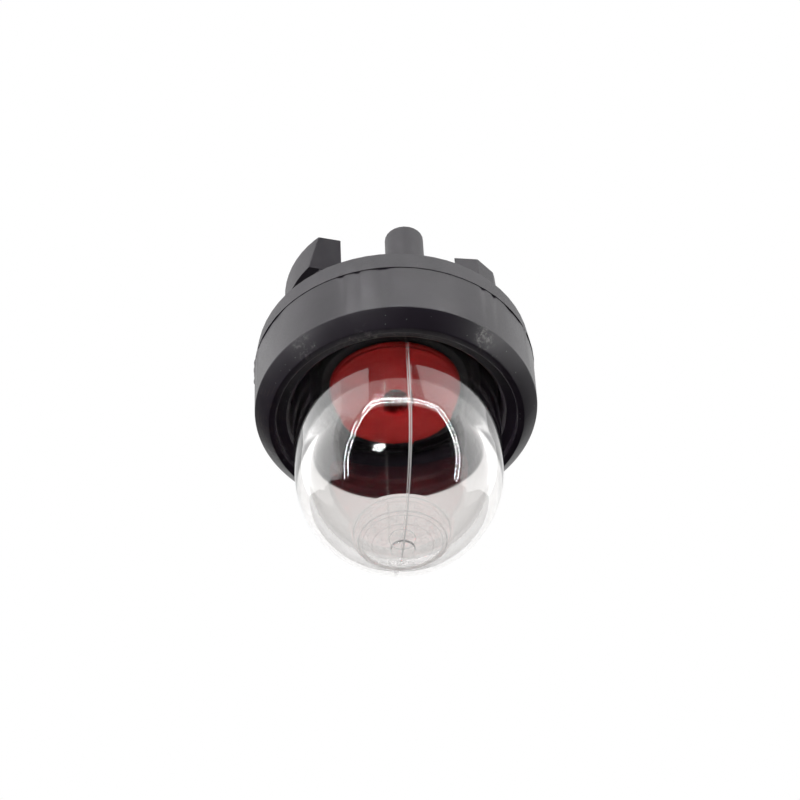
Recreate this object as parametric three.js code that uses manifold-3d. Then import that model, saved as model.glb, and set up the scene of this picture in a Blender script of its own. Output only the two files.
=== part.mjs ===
// Push-in primer bulb of a small two-stroke engine. A moulded base carries two hose
// nipples and two snap lugs, a rubber check valve sits in it, and a collar clamps
// the flange of the clear bulb onto it.
// Millimetres. Z runs along the axis and out of the bulb, and the back of the base,
// which meets the panel, lies at z = 0. Seen from the bulb, Y is 12 o'clock, X is
// 3 o'clock, and angles count clockwise from 12 o'clock in degrees.

import * as THREE from 'three';
import { mergeVertices } from 'three/addons/utils/BufferGeometryUtils.js';
import Module from 'manifold-3d';

const wasm = await Module();
wasm.setup();

// Facets of the round faces
const ROUND_SIDES = 64;
const BORE_SIDES = 24;
const DOME_STEPS = 12;
const FILLET_STEPS = 3;
const GRID = 1e-4;

// Gap left between pieces that pass through or around each other, and how far a cutting
// solid runs past the face that it opens
const CLEARANCE = 0.3;
const OVERRUN = 1;

// Clear bulb, measured from its seat on the base
const BULB_RADIUS = 7.9;
const BULB_DRAFT = 0.1;
const BULB_WALL = 1.5;
const BULB_HEIGHT = 19.05;
const BULB_FLANGE_WIDTH = 1.0;
const BULB_FLANGE_THICKNESS = 1.6;
const BULB_FILLET = 0.2;
const POLE_DISC_RADIUS = 3.3;
const POLE_DISC_STEP = 0.08;
const GATE_RADIUS = 0.9;
const GATE_HEIGHT = 0.12;

// Collar, from the front face of the base's flange
const COLLAR_WALL = 0.8;
const COLLAR_HEIGHT = 5.65;
const COLLAR_CHAMFER_WIDTH = 1.1;
const COLLAR_CHAMFER_HEIGHT = 1.15;
const COLLAR_RIM_WIDTH = 0.55;
const COLLAR_RECESS_DEPTH = 0.55;
const COLLAR_OPENING_EDGE = 0.25;

// Flange, spigot and valve boss of the base
const FLANGE_THICKNESS = 2.0;
const FLANGE_LIP = 0.05;
const FLANGE_DRAFT = 0.1;
const FLANGE_EDGE = 0.15;
const SPIGOT_WALL = 0.6;
const BOSS_HEIGHT = 1.5;
const BOSS_EDGE = 0.3;
const WEB_THICKNESS = 0.8;

// Hose nipples on the back of the base
const NIPPLE_RADIUS = 1.6;
const NIPPLE_TAPER = 0.05;
const NIPPLE_EDGE = 0.2;
const NIPPLE_FOOT = 0.25;
const NIPPLE_BORE_RADIUS = 0.75;
const NIPPLE_OFFSET = 3.6;
const NIPPLE_ANGLE = 19;
const LONG_NIPPLE = 10.0;
const SHORT_NIPPLE = 7.0;
const GALLERY_WIDTH = 1.3;
const GALLERY_HEIGHT = 1.1;

// Snap lugs on the back of the base. The cuts at their ends lie at a clock angle and a
// distance from the axis, on the lug at 3 o'clock.
const LUG_COUNT = 2;
const LUG_RADIUS = 7.75;
const LUG_WALL = 1.35;
const LUG_HEIGHT = 7.1;
const HOOK_OVERHANG = 0.8;
const PANEL_GAP = 4.5;
const LEAD_ANGLE = 6;
const LEAD_DISTANCE = 4.34;
const LEAD_CHAMFER_ANGLE = 49;
const LEAD_CHAMFER_DISTANCE = 7.66;
const STOP_ANGLE = 194;
const STOP_DISTANCE = 4.79;
const STOP_TILT = 21.5;
const STOP_SIDE = 3.97;
const STOP_STEP = 0.05;

// Check valve
const VALVE_RADIUS = 5.05;
const VALVE_RIM = 0.45;
const VALVE_RIM_EDGE = 0.15;
const VALVE_SEAL_WIDTH = 0.5;
const VALVE_DISH = 0.25;
const VALVE_CROWN = 0.5;
const HUB_RADIUS = 1.45;
const HUB_HEIGHT = 0.65;
const HUB_FOOT = 0.45;
const VALVE_BORE_RADIUS = 0.84;
const STEM_RADIUS = 1.35;
const BARB_OVERHANG = 0.6;
const BARB_RIM = 0.25;
const BARB_TAPER = 0.4;
const DUCKBILL_LENGTH = 1.2;
const DUCKBILL_LIP = 0.35;
const DUCKBILL_SLIT = 0.12;

// Places that the sizes above lead to
const seatZ = FLANGE_THICKNESS;
const bossZ = seatZ + BOSS_HEIGHT;
const bulbFoot = BULB_RADIUS + BULB_DRAFT;
const bulbInner = BULB_RADIUS - BULB_WALL;
const bulbFlange = bulbFoot + BULB_FLANGE_WIDTH;
const bulbFlangeTop = seatZ + BULB_FLANGE_THICKNESS;
const domeZ = seatZ + BULB_HEIGHT - BULB_RADIUS;
const spigotInner = bulbFlange + CLEARANCE;
const spigotOuter = spigotInner + SPIGOT_WALL;
const skirtInner = spigotOuter + CLEARANCE;
const collarRadius = skirtInner + COLLAR_WALL;
const flangeRadius = collarRadius + FLANGE_LIP;
const stemHole = STEM_RADIUS + CLEARANCE;
const webZ = bossZ - WEB_THICKNESS;
const barbRadius = STEM_RADIUS + BARB_OVERHANG;
const duckbillTop = webZ - BARB_RIM - BARB_TAPER;
const duckbillTip = duckbillTop - DUCKBILL_LENGTH;
const pocketFloor = duckbillTip - CLEARANCE;
const hookRadius = LUG_RADIUS + HOOK_OVERHANG;

// Colours and finishes
const baseBlack = new THREE.MeshStandardMaterial({ color: 0x2b2a2d, roughness: 0.55, metalness: 0 });
const collarBlack = new THREE.MeshStandardMaterial({ color: 0x232226, roughness: 0.38, metalness: 0 });
const clearPlastic = new THREE.MeshStandardMaterial({
  color: 0xf2f4f3,
  roughness: 0.05,
  metalness: 0,
  transparent: true,
  opacity: 0.3,
});
const redRubber = new THREE.MeshStandardMaterial({ color: 0xb01216, roughness: 0.45, metalness: 0 });

// Clock angle to a point in the XY plane
function onClock(radius, degrees) {
  const angle = THREE.MathUtils.degToRad(degrees);
  return [radius * Math.sin(angle), radius * Math.cos(angle)];
}

// Corners moved to a fine grid and merged, without the triangles that this closes up
function weld(geometry) {
  const bare = geometry.clone();
  bare.deleteAttribute('normal');
  bare.deleteAttribute('uv');
  const places = bare.attributes.position.array;
  for (let i = 0; i < places.length; i++) places[i] = Math.round(places[i] / GRID) * GRID;
  const merged = mergeVertices(bare, GRID / 2);
  const corners = merged.index.array;
  const kept = [];
  for (let i = 0; i < corners.length; i += 3) {
    const [a, b, c] = [corners[i], corners[i + 1], corners[i + 2]];
    if (a !== b && b !== c && c !== a) kept.push(a, b, c);
  }
  merged.setIndex(kept);
  return merged;
}

// Closed solid from a geometry whose faces point out
function toSolid(geometry) {
  const welded = weld(geometry);
  return new wasm.Manifold(new wasm.Mesh({
    numProp: 3,
    vertProperties: new Float32Array(welded.attributes.position.array),
    triVerts: new Uint32Array(welded.index.array),
  }));
}

// Named mesh from a solid
function toMesh(name, solid, material) {
  const made = solid.getMesh();
  const geometry = new THREE.BufferGeometry();
  geometry.setAttribute('position', new THREE.BufferAttribute(made.vertProperties, 3));
  geometry.setIndex(new THREE.BufferAttribute(made.triVerts, 1));
  const welded = weld(geometry);
  welded.computeVertexNormals();
  const mesh = new THREE.Mesh(welded, material);
  mesh.name = name;
  return mesh;
}

// Solid of revolution about Z, from [radius, z] points listed with the material on their left
function revolve(profile, sides = ROUND_SIDES) {
  const points = profile.map(([radius, z]) => new THREE.Vector2(radius, z));
  const lathe = new THREE.LatheGeometry(points, sides);
  lathe.rotateX(Math.PI / 2);
  return toSolid(lathe);
}

// Cylinder along Z
function rod(radius, bottom, top, sides = BORE_SIDES) {
  const geometry = new THREE.CylinderGeometry(radius, radius, top - bottom, sides);
  geometry.rotateX(Math.PI / 2);
  geometry.translate(0, 0, (top + bottom) / 2);
  return toSolid(geometry);
}

// Outline in the XZ plane, pushed out evenly to both sides along Y
function wedge(outline, width) {
  const shape = new THREE.Shape(outline.map(([x, z]) => new THREE.Vector2(x, z)));
  const geometry = new THREE.ExtrudeGeometry(shape, { depth: width, bevelEnabled: false });
  geometry.translate(0, 0, -width / 2);
  geometry.rotateX(Math.PI / 2);
  return toSolid(geometry);
}

// Half of a ring on the 3 o'clock side
function halfRing(inner, outer, bottom, top) {
  const shape = new THREE.Shape();
  shape.absarc(0, 0, outer, Math.PI / 2, -Math.PI / 2, true);
  shape.absarc(0, 0, inner, -Math.PI / 2, Math.PI / 2, false);
  shape.closePath();
  const geometry = new THREE.ExtrudeGeometry(shape, {
    depth: top - bottom,
    bevelEnabled: false,
    curveSegments: ROUND_SIDES / 4,
  });
  geometry.translate(0, 0, bottom);
  return toSolid(geometry);
}

// Everything beyond a plane that faces a clock angle at a distance from the axis at z,
// and leans towards the bulb by a tilt
function beyond(angle, distance, z = 0, tilt = 0) {
  const side = 4 * collarRadius;
  const geometry = new THREE.BoxGeometry(side, side, side);
  geometry.translate(0, side / 2, 0);
  geometry.rotateX(THREE.MathUtils.degToRad(tilt));
  geometry.translate(0, distance, z);
  geometry.rotateZ(THREE.MathUtils.degToRad(-angle));
  return toSolid(geometry);
}

// Points of a quarter circle between two directions, in degrees from the +radius axis
function arc(centreRadius, centreZ, radius, from, to, steps) {
  const points = [];
  for (let i = 0; i <= steps; i++) {
    const angle = THREE.MathUtils.degToRad(from + ((to - from) * i) / steps);
    points.push([centreRadius + radius * Math.cos(angle), centreZ + radius * Math.sin(angle)]);
  }
  return points;
}

// Clear bulb: a dome on a short drafted cylinder, with the flange that seals on the base,
// the round mark of the core's insert inside and the gate's stub at the pole
function makeBulb() {
  const discAngle = THREE.MathUtils.radToDeg(Math.acos(POLE_DISC_RADIUS / bulbInner));
  const gateAngle = THREE.MathUtils.radToDeg(Math.acos(GATE_RADIUS / BULB_RADIUS));
  const gateTop = seatZ + BULB_HEIGHT + GATE_HEIGHT;
  const discSteps = Math.round(DOME_STEPS / 3);
  const disc = arc(0, domeZ, bulbInner - POLE_DISC_STEP, 90, discAngle, discSteps);
  disc[0][0] = 0;
  return revolve([
    ...disc,
    ...arc(0, domeZ, bulbInner, discAngle, 0, DOME_STEPS),
    [bulbInner, seatZ],
    [bulbFlange, seatZ],
    [bulbFlange, bulbFlangeTop],
    ...arc(bulbFoot + BULB_FILLET, bulbFlangeTop + BULB_FILLET, BULB_FILLET, 270, 180, FILLET_STEPS),
    ...arc(0, domeZ, BULB_RADIUS, 0, gateAngle, DOME_STEPS),
    [GATE_RADIUS, gateTop],
    [0, gateTop],
  ]);
}

// Collar: a skirt over the spigot, a thick lip on the bulb's flange and a stepped front
function makeCollar() {
  const top = seatZ + COLLAR_HEIGHT;
  const rimOuter = collarRadius - COLLAR_CHAMFER_WIDTH;
  const rimInner = rimOuter - COLLAR_RIM_WIDTH;
  const recessZ = top - COLLAR_RECESS_DEPTH;
  const opening = bulbFoot + CLEARANCE;
  const outline = [
    [skirtInner, seatZ],
    [collarRadius, seatZ],
    [collarRadius, top - COLLAR_CHAMFER_HEIGHT],
    [rimOuter, top],
    [rimInner, top],
    [rimInner, recessZ],
    [opening + COLLAR_OPENING_EDGE, recessZ],
    [opening, recessZ - COLLAR_OPENING_EDGE],
    [opening, bulbFlangeTop + COLLAR_OPENING_EDGE],
    [opening + COLLAR_OPENING_EDGE, bulbFlangeTop],
    [skirtInner, bulbFlangeTop],
  ];
  return revolve([...outline, outline[0]]);
}

// Flange with the collar's spigot ring and the raised boss that the valve sits on
function makeFlange() {
  const back = flangeRadius - FLANGE_DRAFT;
  const bossRadius = bulbInner - CLEARANCE;
  const spigotZ = bulbFlangeTop - CLEARANCE;
  return revolve([
    [0, 0],
    [back - FLANGE_EDGE, 0],
    [back, FLANGE_EDGE],
    [flangeRadius, seatZ],
    [spigotOuter, seatZ],
    [spigotOuter, spigotZ],
    [spigotInner, spigotZ],
    [spigotInner, seatZ],
    [bossRadius, seatZ],
    [bossRadius, bossZ - BOSS_EDGE],
    [bossRadius - BOSS_EDGE, bossZ],
    [0, bossZ],
  ]);
}

// Plain tapered spigot for a push-on hose, hanging below z = 0
function makeNipple(length) {
  const tip = NIPPLE_RADIUS - NIPPLE_TAPER;
  return revolve([
    [0, -length],
    [tip - NIPPLE_EDGE, -length],
    [tip, NIPPLE_EDGE - length],
    [NIPPLE_RADIUS, -NIPPLE_FOOT],
    [NIPPLE_RADIUS + NIPPLE_FOOT, 0],
    [NIPPLE_RADIUS + NIPPLE_FOOT, seatZ / 2],
    [0, seatZ / 2],
  ], BORE_SIDES);
}

// Snap lug on the 3 o'clock side: an arc wall with a hook outside its free edge, a
// chamfered leading end, and a stop end that leans out over the hook's height
function makeLug() {
  const inner = LUG_RADIUS - LUG_WALL;
  const lean = (LUG_HEIGHT - PANEL_GAP) * Math.tan(THREE.MathUtils.degToRad(STOP_TILT));
  const hook = halfRing(inner, hookRadius, -LUG_HEIGHT, -PANEL_GAP)
    .subtract(beyond(STOP_ANGLE, STOP_DISTANCE, -LUG_HEIGHT, STOP_TILT))
    .subtract(beyond(-90, -STOP_SIDE));
  const stem = halfRing(inner, LUG_RADIUS, -PANEL_GAP, seatZ / 2)
    .subtract(beyond(STOP_ANGLE, STOP_DISTANCE - lean - STOP_STEP));
  return hook
    .add(stem)
    .subtract(beyond(LEAD_ANGLE, LEAD_DISTANCE))
    .subtract(beyond(LEAD_CHAMFER_ANGLE, LEAD_CHAMFER_DISTANCE));
}

// Fuel ways: the inlet opens under the valve's disc, the outlet starts at the duckbill's pocket
function makePassages() {
  const [x, y] = onClock(NIPPLE_OFFSET, NIPPLE_ANGLE);
  const galleryTop = pocketFloor + GALLERY_HEIGHT;
  const inlet = rod(NIPPLE_BORE_RADIUS, -LONG_NIPPLE - OVERRUN, bossZ + OVERRUN).translate(x, y, 0);
  const outlet = rod(NIPPLE_BORE_RADIUS, -SHORT_NIPPLE - OVERRUN, galleryTop).translate(-x, -y, 0);
  const pocket = rod(barbRadius + CLEARANCE, pocketFloor, webZ, ROUND_SIDES);
  const stem = rod(stemHole, webZ - WEB_THICKNESS / 2, bossZ + OVERRUN, ROUND_SIDES);
  const half = GALLERY_WIDTH / 2;
  const galleryOutline = [
    [-half, pocketFloor],
    [half, pocketFloor],
    [half, galleryTop],
    [-half, galleryTop],
  ];
  const gallery = wedge(galleryOutline, NIPPLE_OFFSET)
    .translate(0, -NIPPLE_OFFSET / 2, 0)
    .rotate(0, 0, -NIPPLE_ANGLE);
  return inlet.add(outlet).add(pocket).add(stem).add(gallery);
}

// Base: one moulding of flange, nipples and lugs
function makeBase() {
  const [x, y] = onClock(NIPPLE_OFFSET, NIPPLE_ANGLE);
  let body = makeFlange()
    .add(makeNipple(LONG_NIPPLE).translate(x, y, 0))
    .add(makeNipple(SHORT_NIPPLE).translate(-x, -y, 0));
  const lug = makeLug();
  for (let i = 0; i < LUG_COUNT; i++) {
    body = body.add(lug.rotate(0, 0, (-360 * i) / LUG_COUNT));
  }
  return body.subtract(makePassages());
}

// Check valve: an umbrella disc over the inlet, a barbed stem and a duckbill under it
function makeValve() {
  const rimZ = bossZ + VALVE_RIM;
  const crownZ = rimZ + VALVE_CROWN;
  const hubZ = crownZ + HUB_HEIGHT;
  const dishZ = bossZ + VALVE_DISH;
  const body = revolve([
    [0, duckbillTip],
    [STEM_RADIUS, duckbillTip],
    [STEM_RADIUS, duckbillTop],
    [barbRadius, webZ - BARB_RIM],
    [barbRadius, webZ],
    [STEM_RADIUS, webZ],
    [STEM_RADIUS, dishZ],
    [VALVE_RADIUS - VALVE_SEAL_WIDTH - VALVE_DISH, dishZ],
    [VALVE_RADIUS - VALVE_SEAL_WIDTH, bossZ],
    [VALVE_RADIUS, bossZ],
    [VALVE_RADIUS, rimZ - VALVE_RIM_EDGE],
    [VALVE_RADIUS - VALVE_RIM_EDGE, rimZ],
    [HUB_RADIUS + HUB_FOOT, crownZ],
    [HUB_RADIUS, crownZ + HUB_FOOT],
    [HUB_RADIUS, hubZ - VALVE_RIM_EDGE],
    [HUB_RADIUS - VALVE_RIM_EDGE, hubZ],
    [0, hubZ],
  ]);
  const lip = DUCKBILL_SLIT / 2 + DUCKBILL_LIP;
  const wide = VALVE_RADIUS + OVERRUN;
  const flanks = wedge([
    [-lip, duckbillTip - OVERRUN],
    [lip, duckbillTip - OVERRUN],
    [lip, duckbillTip],
    [STEM_RADIUS, duckbillTop],
    [wide, duckbillTop],
    [wide, hubZ + OVERRUN],
    [-wide, hubZ + OVERRUN],
    [-wide, duckbillTop],
    [-STEM_RADIUS, duckbillTop],
    [-lip, duckbillTip],
  ], 2 * wide);
  const funnel = wedge([
    [-DUCKBILL_SLIT / 2, duckbillTip - OVERRUN],
    [DUCKBILL_SLIT / 2, duckbillTip - OVERRUN],
    [DUCKBILL_SLIT / 2, duckbillTip],
    [VALVE_BORE_RADIUS, duckbillTop],
    [VALVE_BORE_RADIUS, hubZ + OVERRUN],
    [-VALVE_BORE_RADIUS, hubZ + OVERRUN],
    [-VALVE_BORE_RADIUS, duckbillTop],
    [-DUCKBILL_SLIT / 2, duckbillTip],
  ], 2 * VALVE_BORE_RADIUS);
  const bore = rod(VALVE_BORE_RADIUS, duckbillTip - OVERRUN, hubZ + OVERRUN).intersect(funnel);
  return body.intersect(flanks).subtract(bore);
}

const primerBulb = new THREE.Group();
primerBulb.add(toMesh('base', makeBase(), baseBlack));
primerBulb.add(toMesh('check_valve', makeValve(), redRubber));
primerBulb.add(toMesh('bulb', makeBulb(), clearPlastic));
primerBulb.add(toMesh('retaining_collar', makeCollar(), collarBlack));

export default primerBulb;
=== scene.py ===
import math
import random

import bmesh
import bpy
from mathutils import Matrix, Vector


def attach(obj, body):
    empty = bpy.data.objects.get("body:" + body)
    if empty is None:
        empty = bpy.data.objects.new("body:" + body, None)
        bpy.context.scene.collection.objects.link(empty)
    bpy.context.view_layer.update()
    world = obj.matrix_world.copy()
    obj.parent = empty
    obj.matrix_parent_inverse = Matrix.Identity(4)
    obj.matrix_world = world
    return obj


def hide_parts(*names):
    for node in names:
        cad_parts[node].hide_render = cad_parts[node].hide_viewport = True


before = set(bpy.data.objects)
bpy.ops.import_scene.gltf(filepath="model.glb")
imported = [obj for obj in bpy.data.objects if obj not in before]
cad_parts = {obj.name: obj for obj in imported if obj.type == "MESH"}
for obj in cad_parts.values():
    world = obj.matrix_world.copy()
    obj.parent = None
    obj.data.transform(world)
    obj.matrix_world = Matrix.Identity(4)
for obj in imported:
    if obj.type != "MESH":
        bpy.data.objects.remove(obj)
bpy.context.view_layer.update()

MM = 0.001

# Sizes in millimetres, clock angles in degrees. The bulb, the valve and the boss under it
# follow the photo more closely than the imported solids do.
FLANGE_T = 2.0
FLANGE_BACK_DRAFT = 0.17
BOSS_Z = 4.62
CAD_BOSS_Z = 3.5
BOSS_REACH = 6.3
FLANGE_RIM = 10.5
BASE_EDGE = 0.09
LUG_CORNER = 0.55
LUG_FACE = 6.9

BULB_R = 7.97
BULB_FOOT = 8.07
BULB_INNER = 6.8
BULB_INNER_RISE = 6.5
BULB_FLANGE_R = 9.0
BULB_FLANGE_TOP = 3.6
BULB_FILLET = 0.2
DOME_Z = 13.15
POLE_Z = 21.12
GATE_R = 0.9
GATE_RISE = 0.12
CORE_MARK_R = 3.3
CORE_MARK_STEP = 0.08
MOULD_PLANE = 6.2
RIDGE_HALF = 0.14
RIDGE_RISE = 0.02
DOME_STEPS = 54
WALL_STEP = 0.9

VALVE_R = 5.2
VALVE_RIM = 0.45
VALVE_CROWN = 0.55
VALVE_BORE = 1.0
VALVE_DISH = 0.25
VALVE_SEAL = 0.5
WEB = 0.8
STEM_R = 1.5
BARB_R = 2.1
BARB_RIM = 0.25
BARB_HEIGHT = 0.65

COLLAR_R = 11.0
COLLAR_IN = 10.2
COLLAR_TOP = 7.65
CHAMFER_WIDTH = 1.1
CHAMFER_HEIGHT = 1.15
RIM_WIDTH = 0.55
RECESS_DEPTH = 0.55
OPENING_R = 8.3
OPENING_EDGE = 0.25
COLLAR_TURNS = 480
FLASH_HEIGHT = 0.14
FLASH_ROOT = 0.3

# Flash (out) and gaps (in) where collar and flange meet: clock angle, half width, push in mm
FLASH = [
    (-21.5, 1.5, -0.09), (-15, 1.6, -0.08), (-5, 4.5, -0.07), (38.2, 1.3, -0.10), (44.3, 1.2, -0.10),
    (57, 6.5, -0.06), (67.4, 1.6, 0.16), (72, 2.5, -0.12), (80, 8.0, -0.08), (87, 2.0, 0.07),
    (-61, 11.0, -0.06), (-77, 2.2, 0.08), (-82, 2.0, 0.13), (-87, 2.6, 0.09), (-93, 2.2, 0.13),
    (-101, 3.0, 0.06), (-118, 2.5, 0.12), (-124, 2.0, 0.08), (-150, 5.0, -0.06), (120, 3.0, 0.08),
    (140, 6.0, -0.06), (175, 4.0, 0.06),
]

# Light spots on the collar's front, painted highlights (glints) on the chamfer near 40 and -42 degrees and
# rubbed dust by the opening's edge: clock angle, radius, height, reach and depth
SCUFFS_AND_GLINTS = [
    (39.5, 10.5, 7.15, 1.1, 1.0),
    (43.5, 10.6, 7.1, 0.6, 0.6),
    (-42.5, 10.4, 7.2, 1.3, 0.45),
    (-14, 8.8, 7.1, 1.6, 0.5),
    (-24, 9.0, 7.1, 1.2, 0.4),
    (-2, 8.7, 7.1, 1.2, 0.3),
    (12, 8.7, 7.1, 1.0, 0.2),
    (-110, 10.4, 7.2, 1.5, 0.35),
]
COLLAR_FRONT_Z = 6.75

# Side of the front with fine brownish rings: radius, clock angle, height and reach
LINED_SIDE = (9.6, -92, 7.1, 5.5)

# Faint rings moulded round the bulb's pole: radius, half width and depth of haze
POLE_RINGS = [(3.3, 0.08, 0.24), (3.0, 0.06, 0.14), (2.3, 0.08, 0.14), (0.9, 0.07, 0.3)]

# Camera, solved from the round edges in the photo: angles, focal length in pixels of an
# 800 pixel frame, and the part's place in the camera's axes in millimetres
TILT = math.radians(43.96)
ROLL = math.radians(2.88)
FOCAL = 3002.6
FRAME_PIXELS = 800
SENSOR = 36
SHIFT = Vector((-0.52, 3.59, -238.2))

# Stage: lengths in metres, directions in the camera's axes
CARD_DISTANCE = 0.30
SHADE_DISTANCE = 0.27
TABLE_DISTANCE = 0.24
LAMP_DISTANCE = 0.25
FLOOR_Z = -0.45
FLOOR_HALF = 4.0
SQUARE = [(-1, -1), (1, -1), (1, 1), (-1, 1)]
SHADE_BLACK = (0.01, 0.009, 0.011)
WHITE = (1, 1, 1)

# Glowing cards: name, direction, width, height and glow
CARDS = [
    ("ceiling", (0, 1, -0.35), 0.6, 0.4, 1.65),
    ("left_wall", (-1, 0.1, -0.25), 0.3, 0.4, 2.1),
    ("right_wall", (1, 0.1, -0.25), 0.3, 0.4, 1.9),
]

FILL_POWER = 0.45
FILL_SIZE = (0.05, 0.03)
FILL_FROM = (-0.25, 0.51, 0.82)

# Lamp strips: two rows along the route and an oval cluster of dots. LED_STEP is in degrees.
# In radians are the rows' shifts across the route, a lamp's shift along it, the cluster's
# reach and the turn from one of its dots to the next.
CLUSTER = (-0.356, 0.45, 0.82)
CLUSTER_COUNT = 26
CLUSTER_REACH = 0.085
CLUSTER_TURN = 2.4
CLUSTER_WIDER = 1.5
LED_SIZE = 0.0024
LED_GLOW = 90.0
LED_STEP = 2.4
ROW_START = 0.055
ROW_STEP = 0.075
LED_JITTER = 0.008
LED_SEED = 4
LED_ROUTE = [
    (-0.90, -0.10, 0.46), (-0.90, -0.03, 0.445), (-0.79, 0.55, 0.33), (-0.38, 0.93, -0.06),
    (-0.03, 1.0, -0.007), (0.534, 0.842, -0.08), (0.775, 0.625, 0.11), (0.925, -0.077, 0.36),
    (0.91, -0.18, 0.39),
]

# Dark caps: their middles and rims. The front cap's rim goes along the lamps and back by
# the low route.
CAP_RINGS = (0.3, 0.6, 0.85, 1.0)
FRONT_MIDDLE = (0, -0.2, 1)
TABLE_MIDDLE = (0, -0.85, -0.5)
LOW_ROUTE = [
    (0.96, -0.22, 0.2), (0.85, -0.55, 0.05), (0.4, -0.95, 0.0), (0, -1, 0.0), (-0.4, -0.95, 0.0),
    (-0.85, -0.5, 0.0), (-0.98, -0.22, 0.0), (-0.97, -0.12, 0.2),
]
TABLE_ROUTE = [
    (0.95, -0.3, 0.25), (0.97, -0.22, -0.15), (0.85, -0.25, -0.5), (0.6, -0.4, -0.7), (0, -0.7, -0.7),
    (-0.6, -0.4, -0.7), (-0.85, -0.25, -0.5), (-0.97, -0.22, -0.15), (-0.93, -0.3, 0.3),
    (-0.6, -0.8, 0.3), (0, -0.95, 0.35), (0.6, -0.8, 0.3),
]

axis_z = Vector((math.sin(ROLL) * math.sin(TILT), -math.cos(ROLL) * math.sin(TILT), math.cos(TILT)))
axis_y = Vector((0, math.cos(TILT), math.sin(TILT)))
axis_y = (axis_y - axis_z * axis_y.dot(axis_z)).normalized()
axis_x = axis_y.cross(axis_z)
TO_PART = Matrix((axis_x, axis_y, axis_z))
MIDDLE = Vector((0, 0, 8 * MM))


# Mesh helpers

def clock(radius, degrees):
    """Point at a clock angle seen from the bulb."""
    turn = math.radians(degrees)
    return radius * math.sin(turn), radius * math.cos(turn)


def rounded(corners, steps=4):
    """Closed outline of (r, z) points from corners (r, z, fillet)."""
    points = []
    count = len(corners)
    for i in range(count):
        r, z, fillet = corners[i]
        here = Vector((r, z))
        if fillet <= 0:
            points.append((r, z))
            continue
        before = (Vector(corners[i - 1][:2]) - here).normalized()
        after = (Vector(corners[(i + 1) % count][:2]) - here).normalized()
        half = before.angle(after) / 2
        reach = fillet / math.tan(half)
        centre = here + (before + after).normalized() * fillet / math.sin(half)
        start = here + before * reach - centre
        end = here + after * reach - centre
        a0 = math.atan2(start.y, start.x)
        a1 = math.atan2(end.y, end.x)
        sweep = (a1 - a0 + math.pi) % (2 * math.pi) - math.pi
        for k in range(steps + 1):
            a = a0 + sweep * k / steps
            points.append((centre.x + fillet * math.cos(a), centre.y + fillet * math.sin(a)))
    return points


def arc(cz, radius, start, end, steps):
    """Points of a circle round (0, cz), angles in degrees from the +r axis."""
    out = []
    for k in range(steps + 1):
        a = math.radians(start + (end - start) * k / steps)
        out.append((max(0.0, radius * math.cos(a)), cz + radius * math.sin(a)))
    return out


def revolve(name, outline, angles, shift=None):
    """Closed mesh of revolution about Z. angles are clock angles in degrees."""
    mesh = bmesh.new()
    rings = []
    for r, z in outline:
        if r < 1e-6:
            rings.append([mesh.verts.new((0, 0, z * MM))])
            continue
        ring = []
        for a in angles:
            x, y = clock(r, a)
            p = Vector((x, y, z))
            if shift:
                p = p + shift(p, a)
            ring.append(mesh.verts.new(p * MM))
        rings.append(ring)
    count = len(angles)
    for i in range(len(rings)):
        low, high = rings[i - 1], rings[i]
        if len(low) == 1 and len(high) == 1:
            continue
        for k in range(count):
            n = (k + 1) % count
            if len(low) == 1:
                mesh.faces.new((low[0], high[n], high[k]))
            elif len(high) == 1:
                mesh.faces.new((low[k], low[n], high[0]))
            else:
                mesh.faces.new((low[k], low[n], high[n], high[k]))
    return finish_mesh(name, mesh)


def finish_mesh(name, mesh, sharp=38):
    """Object from a bmesh, shaded smooth but for edges sharper than an angle."""
    bmesh.ops.recalc_face_normals(mesh, faces=mesh.faces[:])
    for face in mesh.faces:
        face.smooth = True
    for edge in mesh.edges:
        if len(edge.link_faces) == 2 and edge.calc_face_angle() > math.radians(sharp):
            edge.smooth = False
    data = bpy.data.meshes.new(name)
    mesh.to_mesh(data)
    mesh.free()
    return place_object(name, data)


def place_object(name, data):
    """Object with this data, linked to the scene."""
    obj = bpy.data.objects.new(name, data)
    bpy.context.scene.collection.objects.link(obj)
    return obj


def apply_modifiers(obj):
    """Work the object's modifiers into its mesh."""
    bpy.context.view_layer.update()
    graph = bpy.context.evaluated_depsgraph_get()
    data = bpy.data.meshes.new_from_object(obj.evaluated_get(graph))
    obj.modifiers.clear()
    obj.data = data


def turns(count):
    """Evenly spaced clock angles, once round."""
    return [360 * k / count for k in range(count)]


# Materials

def new_material(name):
    """Principled material, with the part's own coordinates in millimetres."""
    mat = bpy.data.materials.new(name)
    mat.use_nodes = True
    tree = mat.node_tree
    tree.nodes.clear()
    out = tree.nodes.new("ShaderNodeOutputMaterial")
    bsdf = tree.nodes.new("ShaderNodeBsdfPrincipled")
    tree.links.new(bsdf.outputs[0], out.inputs[0])
    coords = tree.nodes.new("ShaderNodeTexCoord")
    mapping = tree.nodes.new("ShaderNodeMapping")
    mapping.inputs["Scale"].default_value = (1 / MM, 1 / MM, 1 / MM)
    tree.links.new(coords.outputs["Object"], mapping.inputs[0])
    return mat, tree, bsdf, mapping.outputs[0]


def noise(tree, where, scale, detail=3.0, rough=0.5):
    """Noise as a 0 to 1 value."""
    node = tree.nodes.new("ShaderNodeTexNoise")
    node.inputs["Scale"].default_value = scale
    node.inputs["Detail"].default_value = detail
    node.inputs["Roughness"].default_value = rough
    tree.links.new(where, node.inputs["Vector"])
    return node.outputs["Fac"]


def ramp(tree, value, stops):
    """Colour or grey looked up from a value, from (place, colour) stops."""
    node = tree.nodes.new("ShaderNodeValToRGB")
    elements = node.color_ramp.elements
    while len(elements) < len(stops):
        elements.new(0.5)
    for element, (place, colour) in zip(elements, stops):
        element.position = place
        if not isinstance(colour, tuple):
            colour = (colour, colour, colour)
        element.color = (*colour, 1)
    tree.links.new(value, node.inputs[0])
    return node.outputs[0]


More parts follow.
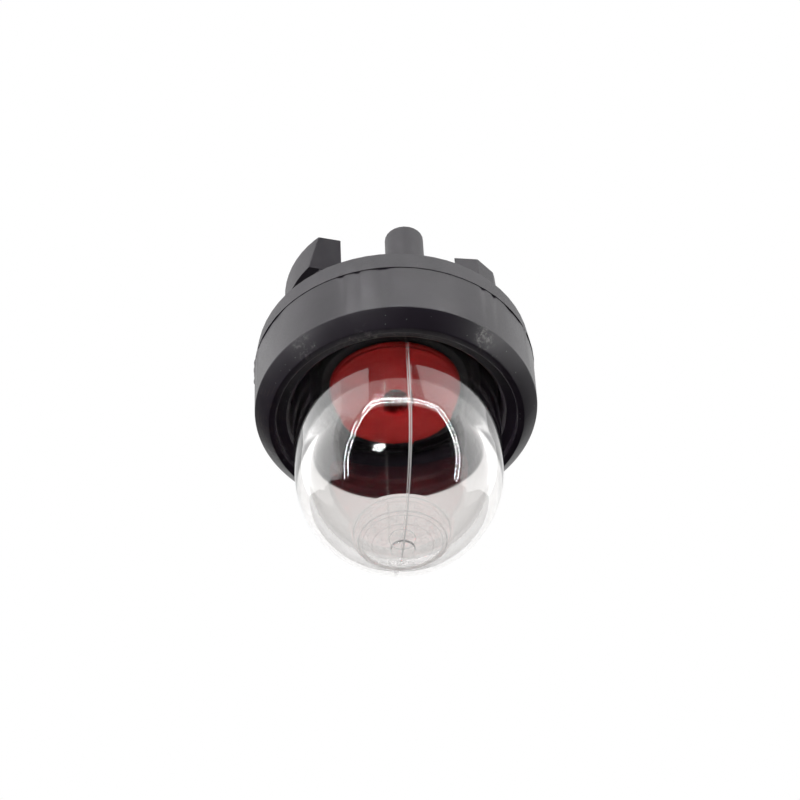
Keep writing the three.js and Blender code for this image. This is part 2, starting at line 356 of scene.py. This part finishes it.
def mix(tree, factor, first, second):
    """Blend of two colours."""
    node = tree.nodes.new("ShaderNodeMix")
    node.data_type = "RGBA"
    for socket, value in ((node.inputs[0], factor), (node.inputs[6], first), (node.inputs[7], second)):
        if isinstance(value, bpy.types.NodeSocket):
            tree.links.new(value, socket)
        elif isinstance(value, tuple):
            socket.default_value = (*value, 1)
        else:
            socket.default_value = value
    return node.outputs[2]


def maths(tree, how, first, second=0.0, third=None):
    """Result of one step of arithmetic."""
    node = tree.nodes.new("ShaderNodeMath")
    node.operation = how
    values = [first, second] + ([] if third is None else [third])
    for socket, value in zip(node.inputs, values):
        if isinstance(value, bpy.types.NodeSocket):
            tree.links.new(value, socket)
        else:
            socket.default_value = value
    return node.outputs[0]


def bump(tree, bsdf, layers):
    """Stacked bumps: (height, strength, distance in mm)."""
    normal = None
    for height, strength, distance in layers:
        node = tree.nodes.new("ShaderNodeBump")
        node.inputs["Strength"].default_value = strength
        node.inputs["Distance"].default_value = distance * MM
        tree.links.new(height, node.inputs["Height"])
        if normal is not None:
            tree.links.new(normal, node.inputs["Normal"])
        normal = node.outputs[0]
    tree.links.new(normal, bsdf.inputs["Normal"])


def separate(tree, where):
    """The x, y and z of a place."""
    node = tree.nodes.new("ShaderNodeSeparateXYZ")
    tree.links.new(where, node.inputs[0])
    return node.outputs


def from_axis(tree, xyz):
    """Distance from the part's axis."""
    x_squared = maths(tree, "MULTIPLY", xyz[0], xyz[0])
    y_squared = maths(tree, "MULTIPLY", xyz[1], xyz[1])
    return maths(tree, "SQRT", maths(tree, "ADD", x_squared, y_squared))


def largest(tree, values):
    """The largest of several values."""
    found = values[0]
    for value in values[1:]:
        found = maths(tree, "MAXIMUM", found, value)
    return found


def specks(tree, where, scale, size, threshold):
    """1 on small dots in some of the cells, 0 elsewhere."""
    cells = tree.nodes.new("ShaderNodeTexVoronoi")
    cells.inputs["Scale"].default_value = scale
    tree.links.new(where, cells.inputs["Vector"])
    dots = maths(tree, "LESS_THAN", cells.outputs["Distance"], size)
    node = tree.nodes.new("ShaderNodeSeparateColor")
    tree.links.new(cells.outputs["Color"], node.inputs[0])
    some = maths(tree, "GREATER_THAN", node.outputs[0], threshold)
    return maths(tree, "MULTIPLY", dots, some)


def near(tree, where, point, reach):
    """1 at a point in millimetres, falling to 0 at a reach."""
    node = tree.nodes.new("ShaderNodeVectorMath")
    node.operation = "DISTANCE"
    tree.links.new(where, node.inputs[0])
    node.inputs[1].default_value = point
    share = maths(tree, "DIVIDE", node.outputs["Value"], reach)
    return ramp(tree, share, [(0.3, 1.0), (1.0, 0.0)])


def black_base():
    """Grained black of the base, with painted shade that makes it darker inside the bulb, and dust."""
    mat, tree, bsdf, where = new_material("moulded_base_black")
    grain = noise(tree, where, 11.0, 5.0, 0.7)
    cloud = noise(tree, where, 0.5, 2.0)
    colour = ramp(tree, cloud, [(0.3, (0.027, 0.0235, 0.030)), (0.7, (0.040, 0.035, 0.043))])
    # Painted shade: above the flange, inside the collar and bulb, the base is made darker.
    height = maths(tree, "MULTIPLY", separate(tree, where)[2], 0.1)
    painted_shade_inside = ramp(tree, height, [(0.25, 0.0), (0.27, 1.0)])
    colour = mix(tree, painted_shade_inside, colour, (0.009, 0.008, 0.010))
    dust = specks(tree, where, 1.6, 0.07, 0.8)
    tree.links.new(mix(tree, dust, colour, (0.09, 0.1, 0.09)), bsdf.inputs["Base Color"])
    tree.links.new(ramp(tree, grain, [(0.3, 0.42), (0.7, 0.58)]), bsdf.inputs["Roughness"])
    bump(tree, bsdf, [(grain, 0.55, 0.035)])
    return mat


def black_collar():
    """Satin black of the collar, with fine brownish rings, rubbed spots, painted glints on the chamfer and
    dust on its front.
    """
    mat, tree, bsdf, where = new_material("moulded_collar_black")
    fine = noise(tree, where, 9.0, 3.0, 0.55)
    cloud = noise(tree, where, 0.35, 3.0)
    xyz = separate(tree, where)
    radius = from_axis(tree, xyz)
    colour = ramp(tree, cloud, [(0.35, (0.013, 0.0095, 0.0155)), (0.65, (0.020, 0.015, 0.023))])
    front = maths(tree, "GREATER_THAN", xyz[2], COLLAR_FRONT_Z)
    # Fine brownish rings round the axis, broken up, on one side of the front.
    wave = maths(tree, "SINE", maths(tree, "MULTIPLY", radius, 30.0))
    lines = ramp(tree, wave, [(0.75, 0.0), (0.95, 1.0)])
    broken = ramp(tree, noise(tree, where, 0.9, 4.0, 0.7), [(0.5, 0.0), (0.6, 1.0)])
    brown_lines = maths(tree, "MULTIPLY", maths(tree, "MULTIPLY", lines, broken), front)
    out, angle, z, reach = LINED_SIDE
    brown_lines = maths(tree, "MULTIPLY", brown_lines, near(tree, where, (*clock(out, angle), z), reach))
    colour = mix(tree, maths(tree, "MULTIPLY", brown_lines, 0.8), colour, (0.085, 0.06, 0.045))
    patchy = ramp(tree, noise(tree, where, 2.2, 6.0, 0.8), [(0.5, 0.0), (0.62, 1.0)])
    # Painted highlights: the spots on the chamfer are glints; those by the opening are rubbed dust.
    spots = []
    for angle, out, z, size, depth in SCUFFS_AND_GLINTS:
        spots.append(maths(tree, "MULTIPLY", near(tree, where, (*clock(out, angle), z), size), depth))
    rubbed_and_glints = maths(tree, "MULTIPLY", largest(tree, spots), patchy)
    colour = mix(tree, rubbed_and_glints, colour, (0.26, 0.25, 0.24))
    dust = maths(tree, "MULTIPLY", specks(tree, where, 2.6, 0.10, 0.72), front)
    colour = mix(tree, dust, colour, (0.20, 0.23, 0.20))
    tree.links.new(colour, bsdf.inputs["Base Color"])
    tree.links.new(ramp(tree, fine, [(0.3, 0.30), (0.7, 0.42)]), bsdf.inputs["Roughness"])
    bump(tree, bsdf, [(cloud, 0.12, 0.25), (fine, 0.18, 0.02)])
    return mat


def red_rubber():
    """Smooth red rubber of the valve."""
    mat, tree, bsdf, where = new_material("red_rubber")
    grain = noise(tree, where, 5.0, 3.0)
    cloud = noise(tree, where, 0.6, 2.0)
    colour = ramp(tree, cloud, [(0.3, (0.50, 0.012, 0.012)), (0.7, (0.62, 0.02, 0.02))])
    tree.links.new(colour, bsdf.inputs["Base Color"])
    tree.links.new(ramp(tree, grain, [(0.3, 0.35), (0.7, 0.45)]), bsdf.inputs["Roughness"])
    bsdf.inputs["Specular IOR Level"].default_value = 0.25
    bump(tree, bsdf, [(grain, 0.15, 0.02)])
    return mat


def mould_line(tree, xyz):
    """Haze of the parting line, strongest on the dome at the 12 o'clock side."""
    east, north = clock(1, MOULD_PLANE)
    along = maths(tree, "MULTIPLY", xyz[0], north)
    off = maths(tree, "SUBTRACT", along, maths(tree, "MULTIPLY", xyz[1], east))
    line = ramp(tree, maths(tree, "ABSOLUTE", off), [(0.04, 0.55), (0.08, 0.0)])
    side = ramp(tree, maths(tree, "MULTIPLY_ADD", xyz[1], 0.1, 0.5), [(0.4, 0.25), (0.5, 1.0)])
    rise = ramp(tree, maths(tree, "MULTIPLY", xyz[2], 0.05), [(0.38, 0.3), (0.5, 1.0)])
    return maths(tree, "MULTIPLY", maths(tree, "MULTIPLY", line, side), rise)


def plastic_haze(tree, where):
    """Where the clear plastic turns milky: parting line, rings round the pole and scuffs."""
    xyz = separate(tree, where)
    line = mould_line(tree, xyz)
    radius = from_axis(tree, xyz)
    marks = []
    for ring, width, depth in POLE_RINGS:
        away = maths(tree, "ABSOLUTE", maths(tree, "SUBTRACT", radius, ring))
        marks.append(ramp(tree, away, [(width * 0.5, depth), (width, 0.0)]))
    swirl = ramp(tree, noise(tree, where, 1.6, 3.0, 0.6), [(0.52, 0.0), (0.60, 0.12), (0.68, 0.0)])
    marks.append(maths(tree, "MULTIPLY", swirl, maths(tree, "LESS_THAN", radius, CORE_MARK_R)))
    dome = maths(tree, "GREATER_THAN", xyz[2], DOME_Z)
    pole = maths(tree, "MULTIPLY", largest(tree, marks), dome)
    scuff = ramp(tree, noise(tree, where, 1.3, 6.0, 0.75), [(0.60, 0.0), (0.78, 0.03)])
    return largest(tree, [line, pole, scuff])


def clear_plastic():
    """Clear moulded plastic that lets light through to what is under it."""
    mat, tree, bsdf, where = new_material("clear_moulded_plastic")
    bsdf.inputs["Base Color"].default_value = (0.93, 0.915, 0.905, 1)
    bsdf.inputs["IOR"].default_value = 1.5
    bsdf.inputs["Coat Weight"].default_value = 0.6
    bsdf.inputs["Coat Roughness"].default_value = 0.0
    clear = maths(tree, "SUBTRACT", 1.0, plastic_haze(tree, where))
    tree.links.new(clear, bsdf.inputs["Transmission Weight"])
    gloss = noise(tree, where, 0.8, 2.0)
    tree.links.new(ramp(tree, gloss, [(0.3, 0.03), (0.7, 0.07)]), bsdf.inputs["Roughness"])
    out = tree.nodes["Material Output"]
    path = tree.nodes.new("ShaderNodeLightPath")
    through = tree.nodes.new("ShaderNodeBsdfTransparent")
    through.inputs[0].default_value = (0.85, 0.84, 0.83, 1)
    blend = tree.nodes.new("ShaderNodeMixShader")
    tree.links.new(path.outputs["Is Shadow Ray"], blend.inputs[0])
    tree.links.new(bsdf.outputs[0], blend.inputs[1])
    tree.links.new(through.outputs[0], blend.inputs[2])
    tree.links.new(blend.outputs[0], out.inputs[0])
    return mat


# Pieces

def soften_lugs(mesh):
    """Round the upright outer corners of the snap lugs, as the moulding has them."""
    corners = []
    for edge in mesh.edges:
        a, b = (v.co / MM for v in edge.verts)
        upright = abs(a.z - b.z) > 0.8 * (a - b).length
        outside = min(math.hypot(a.x, a.y), math.hypot(b.x, b.y)) > LUG_FACE
        below = max(a.z, b.z) < 0.05 and min(a.z, b.z) < -0.5
        if upright and outside and below and len(edge.link_faces) == 2:
            if edge.calc_face_angle() > math.radians(12):
                corners.append(edge)
    bmesh.ops.bevel(mesh, geom=corners, offset=LUG_CORNER * MM, segments=4, profile=0.5,
                    affect="EDGES", clamp_overlap=True)


def make_base():
    """Copy of the base with its boss raised, its back edge drawn in and soft edges."""
    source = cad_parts["base"].data
    mesh = bmesh.new()
    mesh.from_mesh(source)
    bmesh.ops.remove_doubles(mesh, verts=mesh.verts[:], dist=2e-7)
    for vert in mesh.verts:
        x, y, z = vert.co / MM
        reach = math.hypot(x, y)
        if z > CAD_BOSS_Z - 0.5 and reach < BOSS_REACH:
            vert.co.z += (BOSS_Z - CAD_BOSS_Z) * MM
        if z < 0.5 and reach > FLANGE_RIM:
            vert.co.x *= 1 - FLANGE_BACK_DRAFT / reach
            vert.co.y *= 1 - FLANGE_BACK_DRAFT / reach
    bmesh.ops.dissolve_limit(mesh, angle_limit=math.radians(0.6),
                             verts=mesh.verts[:], edges=mesh.edges[:])
    soften_lugs(mesh)
    obj = finish_mesh("base_moulding", mesh)
    bevel = obj.modifiers.new("edges", "BEVEL")
    bevel.width = BASE_EDGE * MM
    bevel.segments = 2
    bevel.limit_method = "ANGLE"
    bevel.angle_limit = math.radians(40)
    bevel.use_clamp_overlap = True
    apply_modifiers(obj)
    mesh = bmesh.new()
    mesh.from_mesh(obj.data)
    bpy.data.objects.remove(obj)
    obj = finish_mesh("base_moulding", mesh, 30)
    obj.data.materials.append(black_base())
    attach(obj, "root")
    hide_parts("base")


def flash(point, angle):
    """Push of the collar's foot at a clock angle, a little ragged."""
    if point.z > FLANGE_T + (FLASH_HEIGHT + FLASH_ROOT) / 2 or math.hypot(point.x, point.y) < COLLAR_R - 0.1:
        return Vector((0, 0, 0))
    push = 0
    for middle, half, depth in FLASH:
        off = abs((angle - middle + 180) % 360 - 180) / half
        if off < 1:
            push += depth * (1 - off * off) * (0.8 + 0.2 * math.sin(angle * 9))
    return Vector((point.x, point.y, 0)).normalized() * push


def make_collar():
    """Skirt, chamfered front and stepped recess, with flash at its foot."""
    rim_outer = COLLAR_R - CHAMFER_WIDTH
    rim_inner = rim_outer - RIM_WIDTH
    recess = COLLAR_TOP - RECESS_DEPTH
    outline = rounded([
        (COLLAR_IN, FLANGE_T, 0),
        (COLLAR_R, FLANGE_T, 0.02),
        (COLLAR_R, FLANGE_T + FLASH_HEIGHT, 0),
        (COLLAR_R, FLANGE_T + FLASH_ROOT, 0),
        (COLLAR_R, COLLAR_TOP - CHAMFER_HEIGHT, 0.18),
        (rim_outer, COLLAR_TOP, 0.12),
        (rim_inner, COLLAR_TOP, 0.1),
        (rim_inner, recess, 0.05),
        (OPENING_R + OPENING_EDGE, recess, 0.05),
        (OPENING_R, recess - OPENING_EDGE, 0.05),
        (OPENING_R, BULB_FLANGE_TOP + OPENING_EDGE, 0.05),
        (OPENING_R + OPENING_EDGE, BULB_FLANGE_TOP, 0),
        (COLLAR_IN, BULB_FLANGE_TOP, 0),
    ])
    obj = revolve("collar_ring", outline, turns(COLLAR_TURNS), flash)
    obj.data.materials.append(black_collar())
    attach(obj, "root")
    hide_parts("retaining_collar")


def ridge(point, _angle):
    """Push of the mould's parting line out of the bulb's outer face."""
    east, north = clock(1, MOULD_PLANE)
    radial = Vector((point.x, point.y, max(0.0, point.z - DOME_Z)))
    if radial.length < BULB_R - 0.4 or point.z < BULB_FLANGE_TOP + 0.6:
        return Vector((0, 0, 0))
    off = abs(point.x * north - point.y * east) / RIDGE_HALF
    if off > 1 or math.hypot(point.x, point.y) < GATE_R + 0.05:
        return Vector((0, 0, 0))
    return radial.normalized() * RIDGE_RISE * (1 - off * off)


def dome_angles():
    """Clock angles of the bulb's facets, close together at the parting line."""
    angles = set(turns(180))
    for side in (MOULD_PLANE, MOULD_PLANE + 180):
        angles = {a for a in angles if abs((a - side + 180) % 360 - 180) > 7.5}
        angles |= {(side + 0.6 * k) % 360 for k in range(-12, 13)}
    return sorted(angles)


def dome_inside():
    """Inner outline of the bulb from the pole down, with the core's round mark."""
    points = []
    for k in range(DOME_STEPS + 1):
        t = math.radians(90 - 90 * k / DOME_STEPS)
        r = max(0.0, BULB_INNER * math.cos(t))
        z = DOME_Z + BULB_INNER_RISE * math.sin(t)
        points.append((r, z - (CORE_MARK_STEP if r < CORE_MARK_R else 0)))
    return points + [(BULB_INNER, DOME_Z - WALL_STEP * k) for k in range(1, 11)]


def dome_outside():
    """Outer outline of the bulb from its foot up, with the gate's stub at the pole."""
    foot_z = BULB_FLANGE_TOP + BULB_FILLET
    points = []
    for k in range(7):
        a = math.radians(270 - 15 * k)
        points.append((BULB_FOOT + BULB_FILLET + BULB_FILLET * math.cos(a),
                       foot_z + BULB_FILLET * math.sin(a)))
    for k in range(1, 12):
        t = k / 12
        points.append((BULB_FOOT + (BULB_R - BULB_FOOT) * t, foot_z + (DOME_Z - foot_z) * t))
    points += arc(DOME_Z, BULB_R, 0, math.degrees(math.acos(GATE_R / BULB_R)), 60)
    top = POLE_Z + GATE_RISE
    points += [(GATE_R, POLE_Z - 0.05), (GATE_R - 0.04, top - 0.02), (GATE_R - 0.12, top)]
    return points + [(0, top)]


def make_dome():
    """Clear bulb: thin dome, drafted wall and the flange under the collar."""
    flange = rounded([(BULB_INNER, FLANGE_T, 0.15), (BULB_FLANGE_R, FLANGE_T, 0.1),
                      (BULB_FLANGE_R, BULB_FLANGE_TOP, 0.1)])
    outline = dome_inside() + flange + dome_outside()
    obj = revolve("clear_dome", outline, dome_angles(), ridge)
    obj.data.materials.append(clear_plastic())
    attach(obj, "root")
    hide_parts("bulb")


def make_valve():
    """Umbrella and its stem, with the bore, in smooth rounds."""
    web = BOSS_Z - WEB
    rim = BOSS_Z + VALVE_RIM
    lip = 0.12
    outline = rounded([
        (VALVE_BORE, web - BARB_HEIGHT, 0.1),
        (STEM_R, web - BARB_HEIGHT, 0.1),
        (BARB_R, web - BARB_RIM, 0.05),
        (BARB_R, web - 0.01, 0),
        (STEM_R, web, 0),
        (STEM_R, BOSS_Z + VALVE_DISH, 0.1),
        (VALVE_R - VALVE_SEAL - VALVE_DISH, BOSS_Z + VALVE_DISH, 0.1),
        (VALVE_R - VALVE_SEAL, BOSS_Z, 0.05),
        (VALVE_R, BOSS_Z, 0.1),
        (VALVE_R, rim, 0.2),
    ])
    for k in range(1, 24):
        r = VALVE_R - (VALVE_R - VALVE_BORE - lip) * k / 23
        outline.append((r, rim + VALVE_CROWN * (1 - (r / VALVE_R) ** 2)))
    crown = outline[-1][1]
    outline += [(VALVE_BORE + 0.04, crown - 0.04), (VALVE_BORE, crown - lip)]
    obj = revolve("valve_umbrella", outline, turns(160))
    obj.data.materials.append(red_rubber())
    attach(obj, "root")
    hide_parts("check_valve")


# Camera and light

def make_camera():
    """Camera at the photo's angle."""
    data = bpy.data.cameras.new("photo_camera")
    data.sensor_width = SENSOR
    data.lens = FOCAL / FRAME_PIXELS * SENSOR
    data.clip_start = 0.01
    camera = place_object("photo_camera", data)
    camera.matrix_world = Matrix.Translation(TO_PART @ (-SHIFT) * MM) @ TO_PART.to_4x4()
    bpy.context.scene.camera = camera


def flat_material(name, colour, strength=0.0):
    """Plain glow, or a matte colour where there is no strength."""
    mat = bpy.data.materials.new(name)
    mat.use_nodes = True
    tree = mat.node_tree
    tree.nodes.clear()
    out = tree.nodes.new("ShaderNodeOutputMaterial")
    if strength:
        shader = tree.nodes.new("ShaderNodeEmission")
        shader.inputs[1].default_value = strength
    else:
        shader = tree.nodes.new("ShaderNodeBsdfDiffuse")
    shader.inputs[0].default_value = (*colour, 1)
    tree.links.new(shader.outputs[0], out.inputs[0])
    return mat


def stage_mesh(name, mesh, material):
    """Stage object from a bmesh."""
    data = bpy.data.meshes.new(name)
    mesh.to_mesh(data)
    mesh.free()
    obj = place_object(name, data)
    obj.data.materials.append(material)
    return obj


def card(name, towards, width, height, strength):
    """Glowing panel that faces the part, placed by a direction in the camera's axes."""
    direction = (TO_PART @ Vector(towards)).normalized()
    turn = (-direction).to_track_quat("Z", "Y").to_matrix()
    place = MIDDLE + direction * CARD_DISTANCE
    mesh = bmesh.new()
    mesh.faces.new([mesh.verts.new(place + turn @ Vector((x * width / 2, y * height / 2, 0)))
                    for x, y in SQUARE])
    obj = stage_mesh(name, mesh, flat_material(name, WHITE, strength))
    obj.visible_camera = False


def shade_cap(name, centre, rim, distance):
    """Dark cap from a middle direction out to a rim of directions."""
    mesh = bmesh.new()
    middle = Vector(centre).normalized()
    rings = []
    for part in CAP_RINGS:
        ring = [middle.slerp(Vector(p).normalized(), part) for p in rim]
        rings.append([mesh.verts.new(MIDDLE + TO_PART @ p * distance) for p in ring])
    tip = mesh.verts.new(MIDDLE + TO_PART @ middle * distance)
    count = len(rim)
    for k in range(count):
        n = (k + 1) % count
        mesh.faces.new((tip, rings[0][k], rings[0][n]))
        for low, high in zip(rings, rings[1:]):
            mesh.faces.new((low[k], high[k], high[n], low[n]))
    obj = stage_mesh(name, mesh, flat_material(name, SHADE_BLACK))
    obj.visible_camera = False
    return obj


def make_fill():
    """Soft lamp over the camera that shows in no reflection."""
    data = bpy.data.lights.new("front_fill", "AREA")
    data.shape = "RECTANGLE"
    data.size, data.size_y = FILL_SIZE
    data.energy = FILL_POWER
    lamp = place_object("front_fill", data)
    direction = (TO_PART @ Vector(FILL_FROM)).normalized()
    turn = direction.to_track_quat("Z", "Y").to_matrix().to_4x4()
    lamp.matrix_world = Matrix.Translation(MIDDLE + direction * LAMP_DISTANCE) @ turn
    lamp.visible_glossy = False
    lamp.visible_transmission = False
    lamp.visible_camera = False


def add_led(mesh, direction):
    """One six-sided lamp that faces the part."""
    centre = MIDDLE + TO_PART @ direction * LAMP_DISTANCE
    turn = (-(TO_PART @ direction)).to_track_quat("Z", "Y").to_matrix()
    ring = []
    for side in range(6):
        a = math.pi / 3 * side
        corner = Vector((LED_SIZE * math.cos(a), LED_SIZE * math.sin(a), 0))
        ring.append(mesh.verts.new(centre + turn @ corner))
    mesh.faces.new(ring)


def make_led_strips():
    """Two rows of small lamps in an arch round the part, as in a light tent, and a cluster."""
    mesh = bmesh.new()
    spots = [Vector(p).normalized() for p in LED_ROUTE]
    rng = random.Random(LED_SEED)
    for row in (0, 1):
        for first, second in zip(spots, spots[1:]):
            along = (second - first).normalized()
            count = max(1, round(math.degrees(first.angle(second)) / LED_STEP))
            for k in range(count):
                p = first.slerp(second, k / count)
                side = p.cross(along).normalized()
                out = side * (ROW_START + ROW_STEP * row)
                add_led(mesh, (p - out + along * rng.uniform(-LED_JITTER, LED_JITTER)).normalized())
    cluster = Vector(CLUSTER).normalized()
    for k in range(CLUSTER_COUNT):
        a = CLUSTER_TURN * k
        reach = CLUSTER_REACH * math.sqrt((k + 0.5) / CLUSTER_COUNT)
        across = Vector((1, 0, 0)) * reach * CLUSTER_WIDER * math.cos(a)
        up = Vector((0, 1, 0)) * reach * math.sin(a)
        add_led(mesh, (cluster + across + up).normalized())
    obj = stage_mesh("led_strips", mesh, flat_material("led", WHITE, LED_GLOW))
    obj.visible_camera = False
    obj.visible_diffuse = False
    obj.visible_transmission = False


def make_world():
    """Even white light from all round."""
    world = bpy.data.worlds.new("tent")
    bpy.context.scene.world = world
    world.use_nodes = True
    background = world.node_tree.nodes["Background"]
    background.inputs[0].default_value = (*WHITE, 1)
    background.inputs[1].default_value = 1.0


def make_floor():
    """Pale floor, pure white where it is seen straight, mirrored or through the plastic."""
    mat = bpy.data.materials.new("floor_white")
    mat.use_nodes = True
    tree = mat.node_tree
    tree.nodes.clear()
    out = tree.nodes.new("ShaderNodeOutputMaterial")
    matte = tree.nodes.new("ShaderNodeBsdfDiffuse")
    matte.inputs[0].default_value = (0.85, 0.85, 0.85, 1)
    glow = tree.nodes.new("ShaderNodeEmission")
    glow.inputs[1].default_value = 1.0
    path = tree.nodes.new("ShaderNodeLightPath")
    rays = [path.outputs[f"Is {kind} Ray"] for kind in ("Camera", "Transmission", "Glossy")]
    blend = tree.nodes.new("ShaderNodeMixShader")
    tree.links.new(largest(tree, rays), blend.inputs[0])
    tree.links.new(matte.outputs[0], blend.inputs[1])
    tree.links.new(glow.outputs[0], blend.inputs[2])
    tree.links.new(blend.outputs[0], out.inputs[0])
    mesh = bmesh.new()
    mesh.faces.new([mesh.verts.new((x * FLOOR_HALF, y * FLOOR_HALF, FLOOR_Z)) for x, y in SQUARE])
    stage_mesh("floor", mesh, mat)


def make_stage():
    """White tent with a dark camera side, glowing cards and lamps."""
    make_world()
    make_floor()
    for name, towards, width, height, glow in CARDS:
        card(name, towards, width, height, glow)
    shade_cap("front_shade", FRONT_MIDDLE, LED_ROUTE + LOW_ROUTE, SHADE_DISTANCE)
    table = shade_cap("table_shade", TABLE_MIDDLE, TABLE_ROUTE, TABLE_DISTANCE)
    table.visible_transmission = False
    make_fill()
    make_led_strips()


make_camera()
make_stage()
make_base()
make_collar()
make_valve()
make_dome()

bpy.context.scene.view_settings.view_transform = "Standard"
